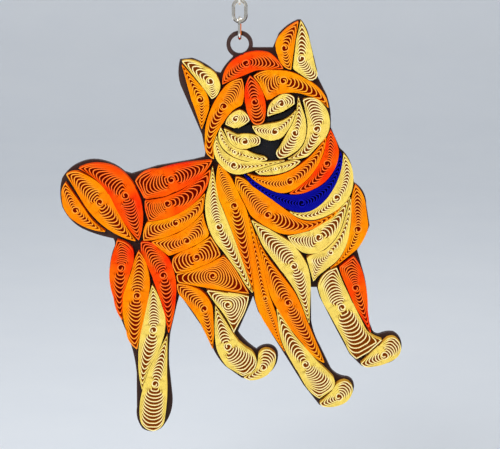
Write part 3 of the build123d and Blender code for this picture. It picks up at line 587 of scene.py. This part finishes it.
# %% [markdown]
# ## Noses
#
# Along a roll's two long sides the turns press together into a band, paper against paper, and
# over the middle their noses stand free, one behind the other like scales. So at any spot one has
# to know which turns still pass it and how far in this one lies among them. The springy paper
# presses outwards, which packs the outer turns and leaves more room between the inner ones.

# %% Spacing of the noses
# Noses stand this share closer than even at the eye, and further apart at the tips.
CROWDING = 0.25
# The share of the crowding that a broad end takes away.
EVEN_WHERE_BROAD = 0.9
# From 0, all turns evenly spaced, to 1, the outer ones packed tight.
LOOSENING = 0.45


def loosened(level, looseness):
    """A turn's level, 0 outermost and 1 innermost, with the outer turns pressed outwards."""
    return (1 - looseness) * level + looseness * level**3


def noses(cosine, turn, turns, arm, hollow, bluntness):
    """How far from the eye a turn has its nose, how far it is along the ridge, and its level."""
    depth = turn / turns
    crowding = CROWDING * (1 - EVEN_WHERE_BROAD * bluntness)
    far = arm - (arm - hollow) * (depth + crowding * depth * (1 - depth))
    along = cosine * far
    reached = np.clip((arm - np.abs(along)) / (arm - hollow), 0, 1)
    root = np.sqrt((1 + crowding) ** 2 - 4 * crowding * reached)
    passing = (1 + crowding - root) / (2 * crowding)
    level = np.clip(depth / np.maximum(passing, 1 / turns), 0, 1)
    return far, along, loosened(level, LOOSENING)


first_noses = noses(1.0, np.arange(1, 4), 10, 10.0, 0.5, 0.0)[0]
print("of ten noses on a 10 mm arm, the first are", first_noses.round(1).tolist(), "mm out")

# %% Shape of a nose
# A fullness of 1 is a half circle, and less is more pointed.
NOSE_FULLNESS = 0.6
BROAD_FULLNESS = 1.1
# The least power of the cosine in a nose's curve. At 2 a turn would be an ellipse.
LEAST_POWER = 2.2
# In mm.
LEAST_NOSE = 0.15
# At a broad end the corners are rounded off over this many turns.
CORNER_TURNS = 2.5


def nose_cap(cosine, turn, far, nose_width, bluntness):
    """Share of its distance from the ridge that a turn keeps on its way round a nose.

    The outermost turn isn't rounded, so it fills the pinched tip.
    """
    fullness = NOSE_FULLNESS + (BROAD_FULLNESS - NOSE_FULLNESS) * bluntness
    power = np.maximum(LEAST_POWER, 2 * far / np.maximum(nose_width, LEAST_NOSE) * fullness)
    cap = np.sqrt(np.maximum(1 - np.abs(cosine) ** power, 0))
    return 1 - (1 - cap) * np.clip(turn / (1 + (CORNER_TURNS - 1) * bluntness), 0, 1)


kept_width = float(nose_cap(0.5, 1, 4, 2, 0))
print("half way to its nose a turn keeps", round(kept_width, 2), "of its width")

# %% [markdown]
# ## Turns of a leaf
#
# A turn is the outline moved in towards the ridge by a share that grows with its level, closed at
# each end by its nose. Around the eye the innermost turn is a small ring. Away from it the band
# of packed turns takes a share of the roll's width that depends on how slim the roll is: a slim
# one is packed almost to its ridge, and a wide one leaves most of its width to the noses. The
# number of turns follows from the roll's size, because one strip is about as thick and as stiff
# as another.

# %% Wind a leaf
# Radius of the ring around the eye, in radii of the CAD model's eye.
EYE_SHARE = 1.5
# From one turn to the next in the flanks, and from one nose to the next, in mm.
STRIP_PITCH = 0.2
NOSE_PITCH = 0.72
LEAST_TURNS = 4
# The share of its width that a wide and a slim roll leave to the noses.
OPEN_SHARE = 0.86
OPEN_SHARE_SLIM = 0.17
# Up to this half width a roll is slim, and from 1 mm more it is wide, in mm.
SLIM_HALF_WIDTH = 1.1
# The share of an arm over which the ring of the eye opens to the noses' width.
RING_FADES = 0.07
# Keeps the two sides of a turn apart, in mm.
LEAST_OUT = 0.02
# A nose is as wide as the roll allows a little nearer to the eye, at this share of its distance.
NOSE_WIDTH_AT = 0.8
# The cosine at which a flank ends before a nose, and over how much of it the flank fades.
FLANK_ENDS, FLANK_FADES = 0.9, 0.35


def wound_leaf(outline, eye, hollow, arms, mirrored):
    """Line of the strip in a roll with two ends, from its outer end to its eye, and its flanks."""
    place, lengths, spots, widths = leaf(outline, eye, arms)
    at_eye = [float(np.interp(0, spots, widths[:, side])) for side in (0, 1)]
    half_width = sum(at_eye) / 2
    by_width = (half_width - hollow) / STRIP_PITCH
    by_length = sum(lengths) / 2 / NOSE_PITCH
    turns = max(LEAST_TURNS, round(max(by_width, by_length)))
    angle, turn, curl = winding(turns)
    cosine, sine = np.cos(angle), np.sin(angle) * (-1 if mirrored else 1)
    arm, bluntness = (
        np.where(cosine > 0, forward, backward)
        for backward, forward in (lengths, blunt_ends(lengths, spots, widths))
    )
    far, along, level = noses(cosine, turn, turns, arm, hollow, bluntness)
    ring = np.exp(-((np.maximum(np.abs(along) - hollow, 0) / arm / RING_FADES) ** 2))
    wide = smooth_step(half_width - SLIM_HALF_WIDTH)
    open_share = OPEN_SHARE_SLIM + (OPEN_SHARE - OPEN_SHARE_SLIM) * wide
    out = np.zeros_like(along)
    for side, sign in ((0, 1), (1, -1)):
        width = np.interp(along, spots, widths[:, side])
        opening = open_share + (hollow / at_eye[side] - open_share) * ring
        base = np.maximum(width * (1 - (1 - opening) * level), LEAST_OUT)
        nose_width = np.interp(NOSE_WIDTH_AT * along, spots, widths[:, side]) * open_share
        cap = nose_cap(cosine, turn, far, nose_width, bluntness)
        out = np.where(sign * sine > 0, sign * base * cap, out)
    flanks = smooth_step((FLANK_ENDS - np.abs(cosine)) / FLANK_FADES) * (turn < turns)
    return place(along * curl, out * curl), flanks


outline, eye, eye_radius, arms = read_roll(rolls["back_roll"])
line, _ = wound_leaf(outline, eye, eye_radius * EYE_SHARE, arms, False)
print("the back roll takes", round(float(walked_along(line)[-1])), "mm of strip")

# %% [markdown]
# ## Turns of a three-cornered roll
#
# Two rolls were pinched at three corners, so they have no ridge. Seen from the eye, such an
# outline is a distance for each bearing. Further in, stiff paper can't keep the corners, and the
# turns grow rounder until only the ring of the eye is left. A Fourier transform splits the
# distances into ripples, and the finer a ripple is, the sooner it fades. Against the flat sides
# the turns lie packed as in a leaf, and in the corners they are evenly spread.

# %% Wind a three-cornered roll
STAR_BEARINGS = 256
# From one nose to the next in a corner, in mm.
STAR_NOSE_PITCH = 0.8
# How fast a ripple fades with its number, and, by a power over 1, how long the corners last.
STAR_SOFTENS = 0.5
STAR_KEEPS_CORNERS = 1.5


def star_rounds(outline, eye, hollow):
    """Bearings around the eye, and the distances of every turn at them, outermost first."""
    bearings = np.linspace(0, 2 * math.pi, STAR_BEARINGS, endpoint=False)
    ahead = [np.array([math.sin(bearing), -math.cos(bearing)]) for bearing in bearings]
    reach = np.array([across(outline, eye, way)[1] for way in ahead])
    turns = max(LEAST_TURNS, round(reach.max() / STAR_NOSE_PITCH))
    waves = np.fft.rfft(reach)
    ripples = (np.arange(len(waves)) * STAR_SOFTENS) ** 2
    broad = np.fft.irfft(waves * np.exp(-ripples), STAR_BEARINGS)
    looseness = LOOSENING * (broad.max() - broad) / (broad.max() - broad.min())
    rounds = []
    for number in range(turns + 1):
        share = number / turns
        fading = np.exp(-ripples * share**STAR_KEEPS_CORNERS)
        level = loosened(share, looseness)
        softened = np.fft.irfft(waves * fading, STAR_BEARINGS)
        rounds.append(softened * (1 - level) + hollow * level)
    return bearings, rounds


def wound_star(outline, eye, hollow, mirrored):
    """Line of the strip in a roll with three ends, from its outer end to its eye, and no flanks."""
    bearings, rounds = star_rounds(outline, eye, hollow)
    turns = len(rounds) - 1
    angle, turn, curl = winding(turns)
    bearing = (-angle if mirrored else angle) % (2 * math.pi)
    low = np.minimum(turn.astype(int), turns - 1)
    inner, outer = (
        np.array([
            np.interp(b, bearings, rounds[n], period=2 * math.pi) for b, n in zip(bearing, numbers)
        ])
        for numbers in (low + 1, low)
    )
    radius = (outer + (inner - outer) * (turn - low)) * curl
    line = eye + np.stack([np.cos(bearing), np.sin(bearing)], axis=1) * radius[:, None]
    return line, np.zeros(len(line))


outline, eye, eye_radius, _ = read_roll(rolls["belly_roll"])
line, flanks = wound_star(outline, eye, eye_radius * EYE_SHARE, False)
print("the belly roll takes", round(float(walked_along(line)[-1])), "mm of strip")

# %% [markdown]
# ## Thickness of the paper
#
# The line is the outer face of the paper. Real quilling paper is about 0.15 mm thick, less than a
# pixel here, so a free strip is drawn 0.19 mm thick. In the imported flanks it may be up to 0.34
# mm, which closes the dark lines that would otherwise show between turns that touch. Where the
# next turn is nearer, the paper is thinner so as to stay clear of it, down to 0.06 mm. The
# distance to the next turn also tells how much of an opening there is beside the strip.

# %% Thickness and openness
# In mm.
PAPER = 0.19
PACKED_PAPER = 0.34
THINNEST = 0.06
# The share of the distance to the next turn that the paper may fill.
SQUEEZE = 0.92
# The distances to the next turn from which an opening begins to show and is fully open, in mm.
OPEN_FROM, OPEN_TO = 0.2, 0.5
# Keeps a standstill from dividing by nothing.
LEAST_TRAVEL = 1e-6


def strip_faces(line, flanks, mirrored):
    """Openness and inner face of a strip whose outer face is the line."""
    travel = np.gradient(line, axis=0)
    travel /= np.maximum(np.hypot(*travel.T), LEAST_TRAVEL)[:, None]
    inward = np.stack([-travel[:, 1], travel[:, 0]], axis=1) * (-1 if mirrored else 1)
    to_next = line[TURN_STATIONS:] - line[:-TURN_STATIONS]
    gap = np.full(len(line), 2 * OPEN_TO)
    gap[:-TURN_STATIONS] = np.abs(np.sum(to_next * inward[:-TURN_STATIONS], axis=1))
    thickness = np.clip(SQUEEZE * gap, THINNEST, PAPER + (PACKED_PAPER - PAPER) * flanks)
    openness = np.clip((gap - OPEN_FROM) / (OPEN_TO - OPEN_FROM), 0, 1) * (1 - flanks)
    return openness, line + inward * thickness[:, None]


openness, _ = strip_faces(line, flanks, False)
print("share of the belly roll's strip beside an opening:", round(float(openness.mean()), 2))

# %% [markdown]
# ## The standing strip
#
# Each station of the line gets four corners, which makes the strip one long closed solid with a
# flat cut edge towards the viewer. Nobody pushes every turn down equally hard, so that edge
# wanders a few hundredths of a millimetre below the full height. At its foot lies a thin sheet
# that fills the outline. It carries the painted shade and the painted glow of the deep colour, so
# that the floor of every gap shows them.

# %% Corners and faces
# Most that an edge lies below the full height, and the thickness of the floor sheet, in mm.
PUSHED_DOWN = 0.06
FLOOR_SHEET_THICKNESS = 0.04
# Stations from one random height to the next, and heights to spare at the end.
WANDER_STATIONS = 12
WANDER_SPARE = 4


def strip_corners(line, inner, back, front, seed):
    """Four corners at each station: outer face at foot and edge, inner face at edge and foot."""
    wander = np.random.default_rng(seed).normal(size=len(line) // WANDER_STATIONS + WANDER_SPARE)
    knots = np.arange(len(line)) / WANDER_STATIONS
    lowered = np.abs(np.interp(knots, np.arange(len(wander)), wander)) * PUSHED_DOWN / 2
    top = front + np.minimum(lowered, PUSHED_DOWN)
    corners = np.empty((len(line), 4, 3))
    section = ((line, back), (line, top), (inner, top), (inner, back))
    for column, (face, height) in enumerate(section):
        corners[:, column, 0] = face[:, 0]
        corners[:, column, 1] = height
        corners[:, column, 2] = face[:, 1]
    return corners


def strip_quads(count, mirrored):
    """Faces of a strip with so many stations: four all along it, and one at each end."""
    ring = np.arange(4)
    beside = (ring + 1) % 4
    first = np.arange(count - 1)[:, None] * 4
    after = first + 4
    quads = np.stack([first + ring, first + beside, after + beside, after + ring], axis=2)
    faces = [*quads.reshape(-1, 4).tolist(), [3, 2, 1, 0], (count * 4 - 4 + ring).tolist()]
    return [face[::-1] for face in faces] if mirrored else faces


def gap_floor_sheet(outline, back, first):
    """Corners of the floor sheet inside an outline, which carries the painted gap shade and glow,
    and its faces, with corners numbered from first.
    """
    count = len(outline)
    rims = [
        np.column_stack([outline[:, 0], np.full(count, y), outline[:, 1]])
        for y in (back - FLOOR_SHEET_THICKNESS, back)
    ]
    floor_ring = np.arange(count) + first
    beside = np.roll(floor_ring, -1)
    rim_faces = np.stack([floor_ring, beside, beside + count, floor_ring + count], axis=1).tolist()
    return rims, [floor_ring[::-1].tolist(), (floor_ring + count).tolist(), *rim_faces]


print("the belly roll's strip has", len(strip_quads(len(line), False)), "faces")

# %% [markdown]
# ## Mesh of a strip
#
# A curve with a bevel would make every turn equally thick, so the strip is a mesh of its own. It
# is smooth around the turns, with sharp long edges, and carries the two values that the paper
# material asks for. "open" is the same for all four corners of a station. "lit" is 1 at the cut
# edge and 0 at the foot, except on the outside of the outermost turn, which isn't in a gap.

# %% Strip with its values
SHARP_EDGE = math.radians(40)


def strip_mesh(name, line, flanks, mirrored, outline, back, front, seed):
    """Mesh object of a strip that stands on edge along the line, on a sheet that carries the
    painted gap shade and glow.
    """
    openness, inner = strip_faces(line, flanks, mirrored)
    corners = strip_corners(line, inner, back, front, seed)
    rims, floor_faces = gap_floor_sheet(outline, back, 4 * len(line))
    spots = np.vstack([corners.reshape(-1, 3), *rims]) * MM
    mesh = bpy.data.meshes.new(name)
    mesh.from_pydata(spots.tolist(), [], strip_quads(len(line), mirrored) + floor_faces)
    mesh.shade_smooth()
    mesh.set_sharp_from_angle(angle=SHARP_EDGE)
    lit = np.tile([0.0, 1.0, 1.0, 0.0], (len(line), 1))
    lit[:TURN_STATIONS, 0] = 1.0
    # The floor sheet's corners get 0 for both values, so they take the full painted gap shade and
    # glow.
    on_gap_floor = np.zeros(2 * len(outline))
    for label, values in (("open", np.repeat(openness, 4)), ("lit", lit.ravel())):
        attribute = mesh.attributes.new(label, "FLOAT", "POINT")
        attribute.data.foreach_set("value", np.concatenate([values, on_gap_floor]))
    strip = bpy.data.objects.new(name, mesh)
    bpy.context.scene.collection.objects.link(strip)
    return strip


print("edges sharper than", round(math.degrees(SHARP_EDGE)), "degrees stay sharp")

# %% [markdown]
# ## Winding all the rolls
#
# Now every CAD roll is read, wound and replaced by its strip. Half the strips run one way round
# and half the other, as they come off the needle in any order. Each strip rides on the body of
# the figure, so it moves with the board when the chain swings.

# %% Wind every roll
slot_of = {piece["node"]: piece["material_slot"] for piece in frame["record"]["subparts"]}
turn_count = 0
for seed, (name, node) in enumerate(sorted(rolls.items())):
    outline, eye, eye_radius, arms = read_roll(node)
    hollow = eye_radius * EYE_SHARE
    mirrored = seed % 2 == 1
    low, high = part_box(name)
    if len(arms) == 2:
        line, flanks = wound_leaf(outline, eye, hollow, arms, mirrored)
    else:
        line, flanks = wound_star(outline, eye, hollow, mirrored)
    back, front = high[1] / MM, low[1] / MM
    strip_name = name.replace("_roll", "_strip")
    strip = strip_mesh(strip_name, line, flanks, mirrored, outline, back, front, seed)
    strip.data.materials.append(papers[slot_of[name]])
    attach(strip, "figure")
    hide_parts(name)
    turn_count += len(line) / TURN_STATIONS
print(len(rolls), "rolls wound,", round(turn_count), "turns in all")

# %% [markdown]
# ## Finishes with a fine grain
#
# Nothing real has one flat colour. Board, card, paper and plated wire all vary between two close
# tones, and with the tone the surface also gets a little rougher and higher. One noise with the
# size of the grain can drive all three, so one function serves every piece that isn't a strip.

# %% Grained finish
# How far the roughness varies around its middle value.
ROUGHNESS_SPAN = (0.8, 1.2)
NOISE_DETAIL = 4.0


def grained(name, light, dark, grain, roughness, relief, metallic=0.0, specular=0.5):
    """A finish that varies between two tones: its material, its shader and its mixed colour."""
    material, shader = new_material(name, {
        "Metallic": metallic,
        "Specular IOR Level": specular,
    })
    tree = material.node_tree
    place = add_node(tree, "ShaderNodeTexCoord")
    noise = add_node(tree, "ShaderNodeTexNoise", {
        "Vector": place.outputs["Object"],
        "Scale": 1 / grain,
        "Detail": NOISE_DETAIL,
    })
    tone = add_node(tree, "ShaderNodeMix", {
        MIX_SHARE: noise.outputs["Fac"],
        MIX_FROM: linear(dark),
        MIX_TO: linear(light),
    }, data_type="RGBA")
    rough = add_node(tree, "ShaderNodeMapRange", {
        "Value": noise.outputs["Fac"],
        "To Min": roughness * ROUGHNESS_SPAN[0],
        "To Max": roughness * ROUGHNESS_SPAN[1],
    })
    bump = add_node(tree, "ShaderNodeBump", {"Height": noise.outputs["Fac"], "Distance": relief})
    tree.links.new(tone.outputs[MIXED], shader.inputs["Base Color"])
    tree.links.new(rough.outputs["Result"], shader.inputs["Roughness"])
    tree.links.new(bump.outputs["Normal"], shader.inputs["Normal"])
    return material, shader, tone.outputs[MIXED]


print("roughness varies by", ROUGHNESS_SPAN, "times its middle value")

# %% [markdown]
# ## Stained fibreboard
#
# The backing is taken to be thin fibreboard, sawn out along the figure and stained dark brown.
# Its pressed fibres make it half matt, with an uneven grain of about half a millimetre. Close
# beside the rolls the brown is painted darker and redder: a painted shade, tinted red as a painted
# reflection of the paper. Ambient occlusion finds those corners from the shape alone, from
# wherever one looks.

# %% Board
BOARD_GRAIN = 0.5 * MM
BOARD_RELIEF = 0.006 * MM
PAINTED_SHADE_REACH = 1.6 * MM
# Ambient occlusion is 1 in the open. The painted shade is darkest at 0.55 and below.
PAINTED_CORNER_SHADE = {"From Min": 0.55, "From Max": 0.95}

board, board_shader, stain = grained(
    "stained_fibreboard", "#48302a", "#2c1a16", BOARD_GRAIN, 0.6, BOARD_RELIEF, specular=0.3
)
tree = board.node_tree
corner_occlusion = add_node(tree, "ShaderNodeAmbientOcclusion", {"Distance": PAINTED_SHADE_REACH}, samples=8)
out_of_painted_shade = add_node(tree, "ShaderNodeMapRange", {"Value": corner_occlusion.outputs["AO"], **PAINTED_CORNER_SHADE})
# Near the rolls the stain gives way to a dark red-brown: a painted shade with a painted red
# reflection.
stain_with_painted_shade = add_node(tree, "ShaderNodeMix", {
    MIX_SHARE: out_of_painted_shade.outputs["Result"],
    MIX_FROM: linear("#240c06"),
    MIX_TO: stain,
}, data_type="RGBA")
tree.links.new(stain_with_painted_shade.outputs[MIXED], board_shader.inputs["Base Color"])
print(board.name, "darkens within", round(PAINTED_SHADE_REACH / MM, 1), "mm of a corner")

# %% [markdown]
# ## Black card
#
# The eyes and the mouth are flat pieces cut from thick black card. Dyed card is never quite
# black. It is a very dark blue-grey with a soft surface, which keeps its shape readable beside
# the blue and orange paper. Its fibres are as fine as the paper's and are drawn coarser too.

# %% Black card
CARD_GRAIN = 0.4 * MM
CARD_RELIEF = 0.006 * MM

black_card = grained(
    "black_card", "#0c0e18", "#040508", CARD_GRAIN, 0.65, CARD_RELIEF, specular=0.2
)[0]
print(black_card.name, "has a grain of", round(CARD_GRAIN / MM, 1), "mm")

# %% [markdown]
# ## Nickel-plated wire
#
# The links of such a fine chain are bent from wire and then plated with nickel. The plating is
# bright and very slightly warm, and a metal takes its whole look from what it reflects. Links
# that were tumbled together aren't perfectly even, so a faint ripple of under a millimetre bends
# the reflections. The IOR is left at its default, because a metal's reflection comes from its
# colour.

# %% Nickel-plated wire
RIPPLE_LENGTH = 0.8 * MM
RIPPLE_HEIGHT = 0.001 * MM

nickel_wire = grained(
    "nickel_plated_wire", "#faf6ee", "#efe9dc", RIPPLE_LENGTH, 0.12, RIPPLE_HEIGHT, metallic=1.0
)[0]
print(nickel_wire.name, "has ripples", round(RIPPLE_LENGTH / MM, 1), "mm long")

# %% [markdown]
# ## Finishes on the CAD pieces
#
# The board, the black pieces and the links have their true shape in the CAD model already. They
# stay as they are, and only get the finish of their slot.

# %% Finishes on the CAD pieces
finishes = {"brown_board": board, "black_paper": black_card, "chain_metal": nickel_wire}
kept = [name for name in frame["nodes"] if name not in rolls]
for name in kept:
    for material_slot in frame["nodes"][name].material_slots:
        material_slot.material = finishes[slot_of[name]]
print("finished:", ", ".join(kept))

# %% [markdown]
# ## Camera
#
# The photograph looks at the ornament from the front and a little from above, since some of the
# board's edge shows over the rolls. Nearer pieces aren't visibly larger, so the lens is long. Its
# distance follows from the width of the frame at the ornament: with a sensor of 36 mm, a lens of
# 180 mm stands five frame widths away.

# %% Camera
VIEW_CENTRE = np.array([1.83, 0.0, -42.8]) * MM
FRAME_WIDTH = 90 * MM
# Blender takes these two in mm.
LENS = 180
SENSOR = 36
ELEVATION = math.radians(10)
NEAREST_SEEN = 10 * MM

camera_data = bpy.data.cameras.new("camera")
camera_data.lens = LENS
camera_data.sensor_width = SENSOR
camera_data.clip_start = NEAREST_SEEN
camera = bpy.data.objects.new("camera", camera_data)
distance = FRAME_WIDTH * LENS / SENSOR
camera.location = VIEW_CENTRE + distance * np.array([0, -math.cos(ELEVATION), math.sin(ELEVATION)])
camera.rotation_euler = (math.pi / 2 - ELEVATION, 0, 0)
bpy.context.scene.collection.objects.link(camera)
bpy.context.scene.camera = camera
print("the camera is", round(distance, 3), "m from the ornament")

# %% [markdown]
# ## Soft lights
#
# Gaps half a millimetre wide and two deep need a light from the front to show anything at all. A
# large light gives shadows with soft edges, so all three are wide squares. The main one stands in
# front at the upper left and gives each strip a shaded side, a weaker one on the right fills that
# side, and the one overhead brightens the upper edge of the board.

# %% Soft lights
def soft_light(name, size, power, spot):
    """A white square area light at a spot, turned to the middle of the ornament."""
    data = bpy.data.lights.new(name, "AREA")
    data.size = size
    data.energy = power
    light = bpy.data.objects.new(name, data)
    light.location = spot
    towards = Vector(VIEW_CENTRE) - Vector(spot)
    light.rotation_euler = towards.to_track_quat("-Z", "Y").to_euler()
    bpy.context.scene.collection.objects.link(light)
    print(name, "shines with", power, "W from", round(towards.length, 2), "m")


soft_light("key_softbox", 0.30, 1.8, (-0.22, -0.40, 0.22))
soft_light("fill_softbox", 0.40, 0.7, (0.40, -0.30, 0.05))
soft_light("top_softbox", 0.30, 0.5, (0.05, 0.05, 0.40))

# %% [markdown]
# ## Light of the room
#
# A pale room sends some light from all sides, so no shadow is black. It is white towards the
# ceiling and grey towards the floor, and the wire of the chain reflects both. The view transform
# is the plain one, so that a colour in full white light comes out as its hex value.

# %% Room
ROOM_LIGHT = 0.51
# Heights on a ball around the ornament, where -1 is straight down and 1 straight up.
FLOOR_TO_CEILING = {"From Min": -0.6, "From Max": 0.8}

world = bpy.data.worlds.new("room")
world.use_nodes = True
room = world.node_tree
bearing = add_node(room, "ShaderNodeTexCoord")
height = add_node(room, "ShaderNodeSeparateXYZ", {"Vector": bearing.outputs["Generated"]})
up = add_node(room, "ShaderNodeMapRange", {"Value": height.outputs["Z"], **FLOOR_TO_CEILING})
walls = add_node(room, "ShaderNodeMix", {
    MIX_SHARE: up.outputs["Result"],
    MIX_FROM: linear("#6c6a68"),
    MIX_TO: linear("#ffffff"),
}, data_type="RGBA")
background = room.nodes["Background"]
room.links.new(walls.outputs[MIXED], background.inputs["Color"])
background.inputs["Strength"].default_value = ROOM_LIGHT
bpy.context.scene.world = world
bpy.context.scene.view_settings.view_transform = "Standard"
print("the room's light has a strength of", ROOM_LIGHT)

# %% [markdown]
# ## Backdrop
#
# A wide sheet of pale matt paper hangs behind the ornament and runs forward under it in one
# curve, so that no line shows where wall and floor meet. Here it has seven cross lines, bent the
# same way and shaded smooth. Its tone varies only faintly, over patches of 20 mm. Its wall stands
# further off than the camera does, so that the ornament can be looked at from behind too. It's a
# stage, not a part of the ornament.

# %% Backdrop
BACKDROP_GRAIN = 20 * MM
BACKDROP_RELIEF = 0.006 * MM
# In metres: half the width, and the distance behind the ornament and height of each cross line.
HALF_WIDTH = 1.6
SIDE_VIEW = [
    (-1.6, -0.105),
    (0.42, -0.105),
    (0.52, -0.098),
    (0.60, -0.075),
    (0.65, -0.03),
    (0.66, 0.04),
    (0.66, 0.9),
]

mesh = bpy.data.meshes.new("backdrop")
mesh.from_pydata(
    [(x, y, z) for y, z in SIDE_VIEW for x in (-HALF_WIDTH, HALF_WIDTH)],
    [],
    [(2 * i, 2 * i + 1, 2 * i + 3, 2 * i + 2) for i in range(len(SIDE_VIEW) - 1)],
)
mesh.shade_smooth()
mesh.materials.append(
    grained("paper_backdrop", "#eaeff5", "#e4eaf2", BACKDROP_GRAIN, 0.9, BACKDROP_RELIEF)[0]
)
backdrop = bpy.data.objects.new("backdrop", mesh)
bpy.context.scene.collection.objects.link(backdrop)
print("backdrop:", 2 * HALF_WIDTH, "m wide, its wall", SIDE_VIEW[-1][0], "m behind the ornament")
